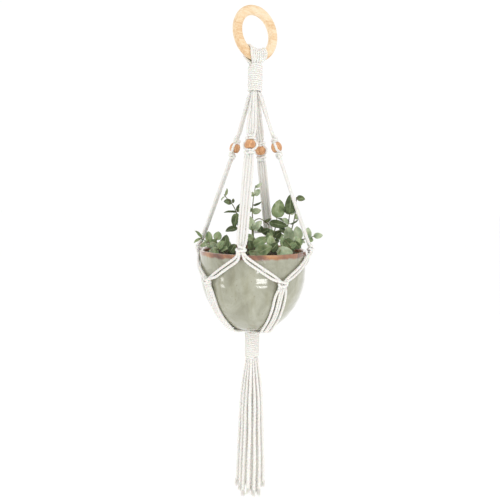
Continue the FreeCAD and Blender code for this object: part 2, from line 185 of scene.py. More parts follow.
def twistedCotton():
    # three-ply cotton cord, combed and twisted: matte, faintly warm white, fine yarns along each ply
    material, tree = newMaterial("twistedCotton")
    flat = flatPlace(tree)
    slant = addStretch(tree, flat, (1.0, 9.0, 1.0), (0, 0, 0.6))
    # yarns are about 0.4 mm apart, drawn a little coarser so that they show
    yarns = addNoise(tree, slant, 4.0, 4.0, 0.6)
    patches = addNoise(tree, flat, 0.35, 2.0)
    fibre = addRamp(tree, yarns, (0.25, "#E9E7E2"), (0.6, "#FBFAF8"))
    warm = addRamp(tree, patches, (0.3, "#FCFAF5"), (0.75, "#FFFFFF"))
    return finishMaterial(material, {
        "Base Color": addMix(tree, 1.0, fibre, warm, "MULTIPLY"),
        "Normal": addBump(tree, yarns, 0.55, 0.0004), "Roughness": 0.9, "IOR": 1.5,
        "Specular IOR Level": 0.25, "Sheen Weight": 0.35, "Sheen Roughness": 0.5,
        "Subsurface Weight": 0.08, "Subsurface Scale": 0.001})


def turnedBeech():
    # beech ring, turned and sanded, no varnish: pale gold with fine straight grain and short flecks
    material, tree = newMaterial("turnedBeech")
    place = solidPlace(tree)
    grain = addNoise(tree, addStretch(tree, place, (60, 420, 420), (0, 0.5, 0)), 1.0, 6.0, 0.6, 0.4)
    bands = addNoise(tree, addStretch(tree, place, (12, 90, 90), (0, 0.5, 0)), 1.0, 3.0)
    figure = addMath(tree, "MULTIPLY", addMath(tree, "ADD", grain, bands), 0.5)
    return finishMaterial(material, {
        "Base Color": addRamp(tree, figure, (0.40, "#E0B98B"), (0.60, "#F5E0C1"), (0.5, "#EDD1A9")),
        "Normal": addBump(tree, grain, 0.15, 0.0003),
        "Roughness": 0.5, "IOR": 1.5, "Coat Weight": 0.08, "Coat Roughness": 0.4})


def stainedBead():
    # turned bead, stained and waxed: orange brown with darker end grain and a soft shine
    material, tree = newMaterial("stainedBead")
    place = solidPlace(tree)
    grain = addNoise(tree, addStretch(tree, place, (500, 500, 110), (0.3, 0.2, 0)), 1.0, 5.0, 0.65, 0.6)
    return finishMaterial(material, {
        "Base Color": addRamp(tree, grain, (0.33, "#9C643A"), (0.66, "#E6B585"), (0.5, "#D39A69")),
        "Normal": addBump(tree, grain, 0.2, 0.0003),
        "Roughness": 0.4, "IOR": 1.5, "Coat Weight": 0.25, "Coat Roughness": 0.25})


def reactiveGlaze(top):
    # stoneware under a sage reactive glaze: mottled and glossy, iron brown where it thins at the rim
    material, tree = newMaterial("reactiveGlaze")
    place = solidPlace(tree)
    clouds = addNoise(tree, place, 26.0, 6.0, 0.62, 0.8)
    streaks = addNoise(tree, addStretch(tree, place, (1, 1, 0.22)), 75.0, 4.0, 0.55)
    specks = addNoise(tree, place, 420.0, 2.0)
    sage = addRamp(tree, clouds, (0.34, "#8D8C77"), (0.68, "#B0B09D"), (0.5, "#9E9E8A"))
    pale = addRamp(tree, streaks, (0.5, "#FFFFFF"), (0.75, "#E2DFCC"))
    body = addMix(tree, 0.8, sage, pale, "MULTIPLY")
    dots = addMath(tree, "MULTIPLY", addMath(tree, "GREATER_THAN", specks, 0.68), 0.5)
    spotted = addMix(tree, dots, body, toLinear("#7C6F52"))
    height = addNode(tree, "ShaderNodeSeparateXYZ", {"Vector": place}).outputs["Z"]
    level = addMath(tree, "ADD", height, addMath(tree, "MULTIPLY_ADD", streaks, 0.007, -0.0035))
    # the brown band is about 6 mm deep, and runs out in thin drips below it
    rim = addRange(tree, level, top - 0.0076, top - 0.0050)
    brown = addRamp(tree, clouds, (0.35, "#5C3626"), (0.65, "#B98352"), (0.5, "#8C5839"))
    return finishMaterial(material, {
        "Base Color": addMix(tree, rim, spotted, brown), "Normal": addBump(tree, clouds, 0.45, 0.0016),
        "Roughness": 0.14, "IOR": 1.55, "Coat Weight": 1.0, "Coat Roughness": 0.04})


def pottingMoss():
    # dark floral foam under loose moss and soil crumbs: rough and almost black brown
    material, tree = newMaterial("pottingMoss")
    place = solidPlace(tree)
    crumbs = addNoise(tree, place, 260.0, 5.0)
    return finishMaterial(material, {
        "Base Color": addRamp(tree, crumbs, (0.35, "#17120D"), (0.7, "#4A3D2A")),
        "Normal": addBump(tree, crumbs, 0.8, 0.002), "Roughness": 0.95})


def pressedLeaf(name, dark, mid, light):
    # artificial eucalyptus: flocked fabric leaf, matte, with a pale bloom and pressed veins
    material, tree = newMaterial(name)
    place = solidPlace(tree)
    parts = addNode(tree, "ShaderNodeSeparateXYZ", {"Vector": flatPlace(tree)}).outputs
    offAxis = addMath(tree, "ABSOLUTE", parts["X"])
    midrib = addRange(tree, offAxis, 0.02, 0.09, 1.0, 0.0)
    rise = addMath(tree, "MULTIPLY_ADD", offAxis, -0.8, parts["Y"])
    ribs = addRange(tree, addMath(tree, "SINE", addMath(tree, "MULTIPLY", rise, 34.0)), 0.8, 1.0)
    veins = addMath(tree, "MAXIMUM", midrib, addMath(tree, "MULTIPLY", ribs, 0.4))
    green = addRamp(tree, addNoise(tree, place, 90.0, 4.0), (0.32, dark), (0.68, light), (0.5, mid))
    return finishMaterial(material, {
        "Base Color": addMix(tree, addMath(tree, "MULTIPLY", veins, 0.55), green, toLinear("#C4CFA6")),
        "Normal": addBump(tree, veins, 0.5, 0.0004, True),
        "Roughness": 0.62, "IOR": 1.45, "Sheen Weight": 0.15, "Subsurface Weight": 0.1,
        "Subsurface Scale": 0.001})


def mouldedStem():
    # wire stem in moulded green and brown plastic
    material, tree = newMaterial("mouldedStem")
    place = solidPlace(tree)
    mottle = addRamp(tree, addNoise(tree, place, 140.0, 3.0), (0.35, "#4B3A26"), (0.65, "#7F8A5B"))
    return finishMaterial(material, {"Base Color": mottle, "Roughness": 0.6, "IOR": 1.46})


def seamlessPaper():
    # matte white background paper
    material, _ = newMaterial("seamlessPaper")
    return finishMaterial(material, {"Base Color": toLinear("#FDFDFC"), "Roughness": 0.9})


cotton = twistedCotton()
beech = turnedBeech()
beadWood = stainedBead()
moss = pottingMoss()
# the deep green is a darker leaf, and also serves as painted shade for leaves that lie in shadow
leafGreens = [pressedLeaf("pressedLeafSage", "#5E7148", "#87996A", "#AEBB94"),
              pressedLeaf("pressedLeafDeepAndShade", "#303E1E", "#4C5C33", "#6F7E52"),
              pressedLeaf("pressedLeafPale", "#87987A", "#A9B793", "#CBD5B8")]
stemPlastic = mouldedStem()
paper = seamlessPaper()
print("materials made")

# Rope: three plies twisted into one cord, swept along a smooth line

ropeSet = {"sides": 12, "step": 0.001, "lay": 0.0125, "valley": 0.70, "unevenness": 0.03, "detail": 8,
           "full": 1.06}


def splineLine(route, detail):
    data = bpy.data.curves.new("route", "CURVE")
    data.dimensions = "3D"
    data.resolution_u = detail
    spline = data.splines.new("NURBS")
    spline.points.add(len(route) - 1)
    for place, point in zip(spline.points, route):
        place.co = (*point, 1.0)
    spline.order_u = 3
    spline.use_endpoint_u = True
    spline.resolution_u = detail
    holder = bpy.data.objects.new("route", data)
    scene.collection.objects.link(holder)
    mesh = bpy.data.meshes.new_from_object(holder)
    line = np.array([vertex.co for vertex in mesh.vertices], dtype=float)
    bpy.data.meshes.remove(mesh)
    bpy.data.objects.remove(holder)
    bpy.data.curves.remove(data)
    return line


def evenLine(line, step):
    # the same line with its points an equal step apart, and how far along each one is
    gaps = np.linalg.norm(np.diff(line, axis=0), axis=1)
    line = line[np.concatenate(([True], gaps > 1e-8))]
    reach = np.concatenate(([0.0], np.cumsum(np.linalg.norm(np.diff(line, axis=0), axis=1))))
    at = np.linspace(0.0, reach[-1], max(3, int(round(reach[-1] / step)) + 1))
    return np.stack([np.interp(at, reach, line[:, axis]) for axis in range(3)], axis=1), at


def lineFrames(line):
    ahead = np.gradient(line, axis=0)
    ahead /= np.linalg.norm(ahead, axis=1)[:, None]
    side = np.zeros_like(line)
    latest = np.cross(ahead[0], (0.31, 0.52, 0.79))
    for index, direction in enumerate(ahead):
        latest = latest - direction * latest.dot(direction)
        latest = latest / np.linalg.norm(latest)
        side[index] = latest
    return side, np.cross(ahead, side)


def ropeRings(line, at, radius, lay, valley=ropeSet["valley"]):
    # one ring of points round the line at each step, turned a little further every time
    side, other = lineFrames(line)
    place = np.arange(ropeSet["sides"]) * 2 * math.pi / ropeSet["sides"]
    lobes = valley + (1 - valley) * np.abs(np.cos(1.5 * place))
    angle = place[None, :] + 2 * math.pi * at[:, None] / lay
    phase = random.uniform(0, 6.28)
    swell = 1 + ropeSet["unevenness"] * (np.sin(at / 0.0061 + phase) + np.sin(at / 0.0173 + 2 * phase)) / 2
    reach = radius * lobes[None, :] * swell[:, None]
    return (line[:, None, :] + (reach * np.cos(angle))[..., None] * side[:, None, :]
            + (reach * np.sin(angle))[..., None] * other[:, None, :])


def ropePiece(name, stretches, material, diameter):
    # stretches: (rings, how far along each ring is) for each length of rope in the piece
    verts, faces, uvs = [], [], []
    sides = ropeSet["sides"]
    for rings, at in stretches:
        first = len(verts)
        count = len(rings)
        verts.extend(rings.reshape(-1, 3).tolist())
        verts.append(rings[0].mean(axis=0).tolist())
        verts.append(rings[-1].mean(axis=0).tolist())
        foot, tip = first + count * sides, first + count * sides + 1
        for i in range(count - 1):
            u0, u1 = at[i] / diameter, at[i + 1] / diameter
            for j in range(sides):
                k = (j + 1) % sides
                a, b = first + i * sides, first + (i + 1) * sides
                faces.append((a + j, a + k, b + k, b + j))
                v0, v1 = math.pi * j / sides, math.pi * (j + 1) / sides
                uvs.extend(((u0, v0), (u0, v1), (u1, v1), (u1, v0)))
        last = first + (count - 1) * sides
        for j in range(sides):
            k = (j + 1) % sides
            faces.append((foot, first + k, first + j))
            faces.append((tip, last + j, last + k))
            v = math.pi * j / sides
            uvs.extend(((at[0] / diameter, v),) * 3 + ((at[-1] / diameter, v),) * 3)
    return newMesh(name, verts, faces, material, uvs)


# Places that the cords share, read from the frame

mm = 0.001
cordDiameter = 4.0 * mm


def boxMiddle(node):
    low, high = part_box(node)
    return np.array((low + high) / 2)


def outwards(angle):
    return np.array((math.cos(angle), math.sin(angle), 0))


def sideways(angle):
    return np.array((-math.sin(angle), math.cos(angle), 0))


def upTo(z):
    return np.array((0, 0, z))


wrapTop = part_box("top_wrap")[1].z
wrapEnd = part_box("top_wrap")[0].z
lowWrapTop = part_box("bottom_wrap")[1].z
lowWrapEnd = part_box("bottom_wrap")[0].z
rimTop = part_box("bowl")[1].z
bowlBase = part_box("bowl")[0].z
strandTop = max(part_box("tassel_strand_%02d" % (i + 1))[1].z for i in range(16))

bowlSet = {"rim": 80.0 * mm, "shoulder": 78.5 * mm, "shoulderDrop": 32.5 * mm, "foot": 36.0 * mm,
           "wall": 5.0 * mm}
bowlFall = rimTop - bowlBase - bowlSet["shoulderDrop"]
bowlInset = bowlSet["shoulder"] - bowlSet["foot"]
bowlSet["arc"] = (bowlInset ** 2 + bowlFall ** 2) / (2 * bowlInset)
bowlSet["arcMiddle"] = bowlSet["shoulder"] - bowlSet["arc"]
bowlSet["arcLevel"] = rimTop - bowlSet["shoulderDrop"]


def bowlRadius(z):
    if z > bowlSet["arcLevel"]:
        rise = (z - bowlSet["arcLevel"]) / bowlSet["shoulderDrop"]
        return bowlSet["shoulder"] + (bowlSet["rim"] - bowlSet["shoulder"]) * min(rise, 1.0)
    return bowlSet["arcMiddle"] + math.sqrt(bowlSet["arc"] ** 2 - (z - bowlSet["arcLevel"]) ** 2)


class Run:
    # a straight stretch of one sennit, with its own directions along, across and out of it
    def __init__(self, across, start, end):
        self.start = start
        self.length = float(np.linalg.norm(end - start))
        self.along = (end - start) / self.length
        self.across = across
        self.outward = -np.cross(across, self.along)

    def at(self, side, down, out):
        return self.start + (self.across * side + self.outward * out) * mm + self.along * down


class Sennit:
    def __init__(self, number):
        joint = joints["bead_%d_spin" % number]
        self.bead = np.array(joint["pos_m"])
        self.along = np.array(joint["axis"])
        self.angle = math.atan2(self.along[1], self.along[0])
        self.radial = outwards(self.angle)
        self.across = sideways(self.angle)
        self.knot = boxMiddle("rim_knot_%d" % number)
        self.top = self.radial * 6.5 * mm + upTo(wrapEnd)
        reach = sennitSet["tieReach"]
        self.middle = Run(self.across, self.bead, self.bead + self.along)
        self.upper = Run(self.across, self.top, self.middle.at(0, -reach, 0))
        self.lower = Run(self.across, self.middle.at(0, reach, 0), self.knot)


sennitSet = {"tieReach": 11.15 * mm, "beadSide": 9.8, "stack": 2.4, "sway": 0.35}
sennits = {number: Sennit(number) for number in (1, 2, 3, 4)}


def knotFor(number, role):
    # the cradle knot that a strand of this sennit runs to
    return (number - 2) % 4 + 1 if role.startswith("left") else number


class CradleKnot:
    def __init__(self, number):
        self.centre = boxMiddle("cradle_knot_%d" % number)
        self.angle = math.atan2(self.centre[1], self.centre[0])
        self.radial = outwards(self.angle)
        self.across = sideways(self.angle)
        self.level = self.centre[2]

    def at(self, side, down, out):
        # out is counted from a cord that touches the bowl
        z = self.level - down * mm
        radius = bowlRadius(z) + cordDiameter / 2 + out * mm
        return self.radial * radius + self.across * side * mm + upTo(z)


cradleKnots = {number: CradleKnot(number) for number in (1, 2, 3, 4)}

# A square knot: the left worker crosses the front twice, the right worker crosses the back twice.
# Each row is side, down and out from the knot's middle, in millimetres.

squareKnot = {
    "leftWorker": [(-4.6, -4.0, 2.4), (-1.5, -2.7, 4.0), (2.4, -2.0, 4.0), (5.4, -1.4, 0.8), (8.2, 0.1, -1.0),
                   (7.4, 1.9, 1.0), (3.4, 2.2, 3.9), (-1.5, 2.9, 4.1), (-5.2, 2.8, 0.6), (-7.2, 4.2, -0.6),
                   (-5.8, 6.2, 0.0)],
    "rightWorker": [(5.6, -4.0, 2.2), (5.9, -1.6, 4.4), (4.8, 0.6, 1.4), (2.5, 0.7, -3.4), (-2.0, 0.0, -4.1),
                    (-5.2, -0.9, -2.0), (-8.0, -0.4, 0.8), (-7.6, 1.6, 2.6), (-5.4, 2.8, 4.3),
                    (-4.2, 4.3, 0.8), (-1.8, 4.6, -3.4), (2.2, 4.2, -4.1), (5.4, 4.8, -1.4), (5.8, 6.6, 0.0)],
    "leftFiller": [(-1.9, -3.0, 0.0), (-2.0, 0.0, 0.2), (-1.9, 3.0, 0.0), (-1.9, 6.0, 0.0)],
    "rightFiller": [(1.9, -3.0, 0.0), (2.0, 0.0, -0.2), (1.9, 3.0, 0.0), (1.9, 6.0, 0.0)]}

knotScale = {"tie": (0.86, 0.80, 0.95), "rim": (0.74, 0.92, 0.92), "cradle": (0.84, 0.9, 0.92)}
roles = ("leftWorker", "leftFiller", "rightFiller", "rightWorker")
bandSide = {"leftWorker": -6.0, "leftFiller": -2.0, "rightFiller": 2.0, "rightWorker": 6.0}


def knotRoute(role, kind):
    wide, tall, deep = knotScale[kind]
    if role.endswith("Filler"):
        wide = 1.0
    return [(side * wide, down * tall, out * deep) for side, down, out in squareKnot[role]]


def upperRoute(sennit, role, legPlace):
    # from inside the top wrap to the knot over the bead: the four cords start as a square and flatten out
    stack = {"leftWorker": (-1, 0), "leftFiller": (0, -1), "rightFiller": (0, 1), "rightWorker": (1, 0)}[role]
    inner = sennit.radial * (4.0 + 1.5 * stack[1]) * mm + sennit.across * 2.2 * stack[0] * mm
    leg = np.array((*legPlace, 0))
    points = [leg + upTo(wrapTop - 4 * mm), leg * 0.8 + upTo(wrapTop - 12 * mm),
              inner + upTo(wrapEnd + 10 * mm), inner + upTo(wrapEnd + 1.5 * mm)]
    for share, flat in ((0.1, 0.1), (0.3, 0.35), (0.5, 0.65), (0.7, 0.9), (0.86, 1.0)):
        side = bandSide[role] * flat + (1 - flat) * sennitSet["stack"] * stack[0]
        out = (1 - flat) * sennitSet["stack"] * stack[1]
        points.append(sennit.upper.at(side, sennit.upper.length * share, out))
    return points


def placeKnot(run, role, kind, centre):
    return [run.at(side, centre + down * mm, out) for side, down, out in knotRoute(role, kind)]


def beadRoute(sennit, role):
    if role.endswith("Filler"):
        return [sennit.middle.at(bandSide[role], 0.0, 0.0)]
    side = math.copysign(sennitSet["beadSide"], bandSide[role])
    return [sennit.middle.at(side * 0.86, -4.6 * mm, 0.0), sennit.middle.at(side * 1.04, 0.0, 0.4),
            sennit.middle.at(side * 0.86, 4.6 * mm, 0.0)]


def lowerRoute(sennit, role):
    start, end = 10 * mm, sennit.lower.length - 11 * mm
    sway = sennitSet["sway"]
    points = []
    for step in range(5):
        side = bandSide[role] * (0.98 + 0.03 * math.sin(step * 1.7)) + random.uniform(-sway, sway)
        points.append(sennit.lower.at(side, start + (end - start) * step / 4, random.uniform(-sway, sway)))
    return points


armSet = {"below": 7.5 * mm, "lane": 2.6, "shares": (0.11, 0.34, 0.57, 0.78)}


def armRoute(sennit, knot, side, lane):
    # along the bowl from the rim knot to the cradle knot; lane is 1 for the upper cord and -1 for the lower
    level = min(sennit.knot[2] - armSet["below"], rimTop - 1.0 * mm)
    fall = level - knot.level
    radius = bowlSet["shoulder"] + cordDiameter / 2
    across = (knot.angle - sennit.angle + math.pi) % (2 * math.pi) - math.pi
    slope = math.atan2(fall, radius * abs(across))
    points = []
    for share in armSet["shares"]:
        z = level - fall * share + lane * armSet["lane"] * mm * math.cos(slope)
        angle = sennit.angle + across * share + side * lane * armSet["lane"] * mm * math.sin(slope) / radius
        reach = bowlRadius(min(z, rimTop)) + cordDiameter / 2 + 1.2 * mm
        points.append(np.array((reach * math.cos(angle), reach * math.sin(angle), z)))
    return points


dropSet = {"angles": (13, 25, 37, 49), "lift": 3.0 * mm,
           "spread": {1: (-6.6, -2.1, 2.3, 6.9), 2: (-7.4, -2.3, 2.0, 6.2),
                      3: (-8.6, -2.4, 1.7, 8.4), 4: (-6.2, -2.0, 2.4, 7.6)},
           "cells": ((6.2, 6.2), (2.1, 2.1), (2.1, 6.2), (-2.1, 6.2))}


def dropRoute(number, knot, place):
    # down the bowl, in under its foot and through the bottom wrap; place counts the four cords across
    side = dropSet["spread"][number][place] * mm
    points = []
    for degrees in dropSet["angles"]:
        angle = math.radians(degrees)
        reach = bowlSet["arc"] + dropSet["lift"]
        radius = bowlSet["arcMiddle"] + reach * math.cos(angle)
        z = bowlSet["arcLevel"] - reach * math.sin(angle)
        points.append(knot.radial * math.sqrt(radius ** 2 - side ** 2) + knot.across * side + upTo(z))
    inner = place in (1, 2)
    entry = 2.2 * mm if inner else 5.2 * mm
    turn = (place - 1.5) * 0.42
    towards = knot.radial * math.cos(turn) + knot.across * math.sin(turn)
    gap = bowlBase - lowWrapTop
    under = ((bowlSet["foot"] + 3.5 * mm, 0.22, 0.9), (24 * mm, 0.42, 0.8), (12 * mm, 0.62, 0.5))
    for radius, down, pull in under:
        z = bowlBase - gap * down - (0.0 if inner else 0.8 * mm)
        points.append(knot.radial * radius + knot.across * side * pull + upTo(z))
    points.append(towards * (entry + 2 * mm) + upTo(lowWrapTop + (2.6 if inner else 0.8) * mm))
    points.append(towards * entry + upTo(lowWrapTop - 4 * mm))
    points.append(towards * entry + upTo(lowWrapEnd + 6 * mm))
    # each knot's four cords leave the wrap at their own quarter of the tassel
    x, y = dropSet["cells"][place]
    for _ in range(number - 1):
        x, y = -y, x
    cell = np.array((x * mm, y * mm, 0))
    points.append(cell * 0.8 + upTo(lowWrapEnd + 0.5 * mm))
    points.append(cell + upTo(strandTop + 5 * mm))
    points.append(cell + upTo(strandTop))
    return points


def strandRoute(number, role, legPlace):
    # one strand of the hanger, from inside the top wrap to the tassel
    sennit = sennits[number]
    reach = sennitSet["tieReach"]
    left = role.startswith("left")
    outer = role.endswith("Worker")
    knotNumber = knotFor(number, role)
    knot = cradleKnots[knotNumber]
    points = upperRoute(sennit, role, legPlace)
    points += placeKnot(sennit.middle, role, "tie", -reach) + beadRoute(sennit, role)
    points += placeKnot(sennit.middle, role, "tie", reach) + lowerRoute(sennit, role)
    points += placeKnot(sennit.lower, role, "rim", sennit.lower.length)
    points += armRoute(sennit, knot, -1 if left else 1, 1 if outer else -1)
    # the upper cord of each pair becomes a filler of the cradle knot, and the lower one a worker
    knotRole = {(False, True): "leftFiller", (False, False): "leftWorker",
                (True, True): "rightFiller", (True, False): "rightWorker"}[(left, outer)]
    points += [knot.at(side, down, out + 3.6) for side, down, out in knotRoute(knotRole, "cradle")]
    return points + dropRoute(knotNumber, knot, roles.index(knotRole))


# Eight long cords, each folded over the ring, carry the whole hanger

loopSet = {"bar": 33.0 * mm, "barThick": 7.0 * mm, "step": 9.5, "clear": 0.25 * mm,
           "legs": ((-5.6, 1.9), (-5.0, 5.2), (-2.4, 2.4), (-1.8, 6.2),
                    (1.8, 6.2), (2.4, 2.4), (5.0, 5.2), (5.6, 1.9))}


def foldRoute(index, leg):
    # half of a fold, from its top inside the ring down one side of the bar
    centre = upTo(-(loopSet["bar"] - loopSet["barThick"]))
    reach = loopSet["barThick"] + cordDiameter / 2 + loopSet["clear"]
    corner = reach / math.cos(math.radians(22.5))
    points = []
    for degrees, pull in ((67.5, 1.0), (22.5, 0.84), (-22.5, 0.66)):
        # the cords draw together on their way down the bar
        turn = math.radians((index - 3.5) * loopSet["step"]) * pull
        down = np.array((math.sin(turn), 0, -math.cos(turn)))
        angle = math.radians(degrees)
        radius = loopSet["bar"] - corner * math.sin(angle)
        points.append(centre + down * radius + np.array((0, leg * corner * math.cos(angle), 0)))
    x, y = loopSet["legs"][index]
    foot = np.array((x * mm, leg * y * mm, wrapTop + 1.5 * mm))
    points.append((points[-1] + foot) / 2 + np.array((0, leg * 0.6 * mm, 0)))
    points.append(foot)
    return points


def cordLine(index):
    # both halves of one long cord as one line, and where its fold is
    plan = ((1, "leftWorker"), (1, "rightFiller"), (2, "rightWorker"), (2, "leftFiller"),
            (3, "leftFiller"), (3, "rightWorker"), (4, "leftWorker"), (4, "rightFiller"))
    other = {"leftWorker": "rightWorker", "rightWorker": "leftWorker",
             "leftFiller": "rightFiller", "rightFiller": "leftFiller"}
    number, role = plan[index]
    halves = []
    for leg, halfRole in ((-1, role), (1, other[role])):
        x, y = loopSet["legs"][index]
        halves.append(foldRoute(index, leg) + strandRoute(number, halfRole, (x * mm, leg * y * mm)))
    line, at = evenLine(splineLine(halves[0][::-1] + halves[1], ropeSet["detail"]), ropeSet["step"])
    middle = (halves[0][0] + halves[1][0]) / 2
    fold = int(np.argmin(np.linalg.norm(line - middle, axis=1)))
    return number, (role, other[role]), line, at, fold


cordPieces = {}
cutSet = {"tie": 17.0 * mm, "overRim": 7.0 * mm, "underRim": 6.8 * mm, "overKnot": 5.0 * mm,
          "underKnot": 6.0 * mm, "neck": 1.0 * mm}


def keep(piece, rings, at, low, high):
    cordPieces.setdefault(piece, []).append((rings[low:high + 1], at[low:high + 1]))


def shareOut():
    # cuts each long cord at the levels where its pieces change
    for index in range(8):
        number, pair, line, at, fold = cordLine(index)
        rings = ropeRings(line, at, cordDiameter / 2 * ropeSet["full"], ropeSet["lay"])
        sennit = sennits[number]
        crossings = []
        for half in (0, 1):
            knotNumber = knotFor(number, pair[half])
            level = cradleKnots[knotNumber].level
            cuts = [("top_core", wrapTop), ("upper_sennit_%d" % number, wrapEnd),
                    ("bead_tie_%d" % number, sennit.bead[2] + cutSet["tie"]),
                    ("lower_sennit_%d" % number, sennit.bead[2] - cutSet["tie"]),
                    ("rim_knot_%d" % number, sennit.knot[2] + cutSet["overRim"]),
                    ("cradle_arms_%d" % knotNumber, sennit.knot[2] - cutSet["underRim"]),
                    ("cradle_knot_%d" % knotNumber, level + cutSet["overKnot"]),
                    ("cradle_drop_%d" % knotNumber, level - cutSet["underKnot"]),
                    ("bottom_core", lowWrapTop), ("tassel_neck", lowWrapEnd + cutSet["neck"])]
            ends = [fold]
            for _, z in cuts:
                i = ends[-1]
                step = 1 if half else -1
                while 0 < i < len(line) - 1 and line[i][2] > z:
                    i += step
                ends.append(i)
            ends.append(len(line) - 1 if half else 0)
            for place, (piece, _) in enumerate(cuts):
                low, high = sorted((ends[place + 1], ends[place + 2]))
                keep(piece, rings, at, low, high)
            crossings.append(ends[1])
        keep("ring_loops", rings, at, crossings[0], crossings[1])


shareOut()
ropeObjects = {name: ropePiece("rope_" + name, stretches, cotton, cordDiameter)
               for name, stretches in cordPieces.items()}
print("long cords made:", len(ropeObjects), "pieces")


def attach(piece, body, nodes):
    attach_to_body(piece, body)
    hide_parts(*nodes)
    return piece


for name, piece in ropeObjects.items():
    if name == "ring_loops":
        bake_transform(piece)
        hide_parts(name)
    elif name == "tassel_neck":
        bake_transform(piece)
        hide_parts(name)
    else:
        attach(piece, "hanger", (name,))

# Wraps: the same cord wound round the bundle, ends tucked in

wrapSet = {"cord": 3.25 * mm, "reach": 9.6 * mm, "lay": 0.0115, "wander": 0.12, "valley": 0.92, "press": 0.94,
           "perTurn": 12, "wound": {"top_wrap": (12.35, 200), "bottom_wrap": (12.3, 160)}}


def wrapRoute(top, bottom, turns, startAngle):
    perTurn = wrapSet["perTurn"]
    corner = 1 / math.cos(math.pi / perTurn)
    pressed = wrapSet["cord"] * wrapSet["press"]
    rise = (top - bottom - pressed) / turns
    first = top - pressed / 2
    points = []
    for index in range(int(turns * perTurn) + 1):
        turn = index / perTurn
        # each turn lies flat and steps down only along a short part, as hand wound cord does
        drop = rise * (math.floor(turn) + min(1.0, max(0.0, (turn % 1.0) * 1.2 - 0.1)))
        angle = startAngle + 2 * math.pi * turn
        reach = wrapSet["reach"] * corner + random.uniform(-1, 1) * wrapSet["wander"] * mm
        points.append(np.array((reach * math.cos(angle), reach * math.sin(angle),
                                first - drop + random.uniform(-1, 1) * wrapSet["wander"] * mm)))
    head = points[0].copy()
    start = [np.array((head[0] * 0.35, head[1] * 0.35, head[2] - 6 * mm)),
             np.array((head[0] * 0.62, head[1] * 0.62, head[2] - 1.2 * mm))]
    tail = points[-1].copy()
    finish = [np.array((tail[0] * 0.6, tail[1] * 0.6, tail[2] + 0.6 * mm)),
              np.array((tail[0] * 0.35, tail[1] * 0.35, tail[2] + 6 * mm))]
    return start + points + finish


def makeWrap(name, turns, startAngle):
    low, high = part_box(name)
    line, at = evenLine(splineLine(wrapRoute(high.z, low.z, turns, startAngle), 6), ropeSet["step"])
    rings = ropeRings(line, at, wrapSet["cord"] / 2, wrapSet["lay"], wrapSet["valley"])
    return attach(ropePiece("rope_" + name, [(rings, at)], cotton, wrapSet["cord"]), "hanger", (name,))


for name, (turns, degrees) in wrapSet["wound"].items():
    makeWrap(name, turns, math.radians(degrees))
print("wraps wound")

# Tassel: sixteen loose strands that end in frayed yarns

strandLevels = (0, 24, 60, 104, 150, 196)
strandPlan = [
    (-3.0, [(-6.2, -6.2), (-9.0, -9.4), (-11.8, -11.0), (-12.2, -13.4), (-14.6, -13.0), (-16.4, -15.6)]),
    (2.0, [(-2.1, -6.2), (-3.6, -9.8), (-3.2, -12.6), (-5.4, -14.4), (-5.2, -16.8), (-7.8, -17.2)]),
    (4.0, [(2.1, -6.2), (2.4, -9.9), (4.4, -12.4), (2.8, -15.2), (3.6, -17.0), (1.4, -19.0)]),
    (-5.0, [(6.2, -6.2), (8.6, -9.6), (11.2, -10.8), (10.6, -13.6), (12.2, -15.2), (10.4, -17.8)]),
    (3.0, [(-6.2, -2.1), (-9.6, -3.0), (-12.8, -3.4), (-14.8, -5.2), (-16.4, -4.8), (-19.4, -6.8)]),
    (-2.0, [(-2.1, -2.1), (-3.0, -3.2), (-4.8, -4.2), (-4.6, -6.6), (-6.8, -7.4), (-7.4, -9.8)]),
    (5.0, [(2.1, -2.1), (3.2, -3.4), (3.6, -5.0), (5.4, -6.4), (4.0, -8.0), (5.0, -10.6)]),
    (-6.0, [(6.2, -2.1), (9.6, -3.4), (12.4, -3.2), (14.6, -5.4), (14.4, -6.4), (17.4, -8.2)]),
    (1.0, [(-6.2, 2.1), (-9.4, 3.2), (-12.2, 4.8), (-13.4, 3.8), (-15.8, 4.8), (-17.0, 3.4)]),
    (-4.0, [(-2.1, 2.1), (-3.4, 3.6), (-3.8, 5.4), (-5.4, 4.2), (-5.6, 2.8), (-8.2, 1.6)]),
    (3.0, [(2.1, 2.1), (3.6, 3.2), (5.0, 4.6), (4.4, 3.6), (6.4, 2.6), (6.0, 0.2)]),
    (-8.0, [(6.2, 2.1), (9.4, 3.6), (12.0, 5.4), (14.0, 4.2), (17.6, 4.8), (22.8, 3.0)]),
    (-1.0, [(-6.2, 6.2), (-9.2, 9.2), (-10.8, 12.0), (-13.0, 12.4), (-13.4, 14.4), (-15.4, 14.0)]),
    (4.0, [(-2.1, 6.2), (-3.2, 9.8), (-4.8, 12.8), (-4.2, 13.4), (-6.2, 14.8), (-5.8, 16.2)]),
    (0.0, [(2.1, 6.2), (3.4, 9.6), (3.8, 12.8), (5.6, 13.2), (4.8, 15.0), (6.8, 15.4)]),
    (-3.0, [(6.2, 6.2), (9.2, 9.2), (12.0, 11.6), (13.4, 12.8), (13.6, 14.6), (15.6, 13.6)])]
strandSwell = {"grow": 0.38, "over": 70 * mm, "lay": 0.016}
fraySet = {"yarns": 34, "thick": 0.62 * mm, "start": 20 * mm, "spread": 4.3 * mm, "sides": 5, "steps": 8,
           "ragged": 2.5 * mm, "root": 1.55 * mm, "golden": 2.39996, "bare": 9 * mm,
           "opened": {12: 1.25, 1: 1.0, 13: 0.95, 9: 0.9}, "usual": 0.7}


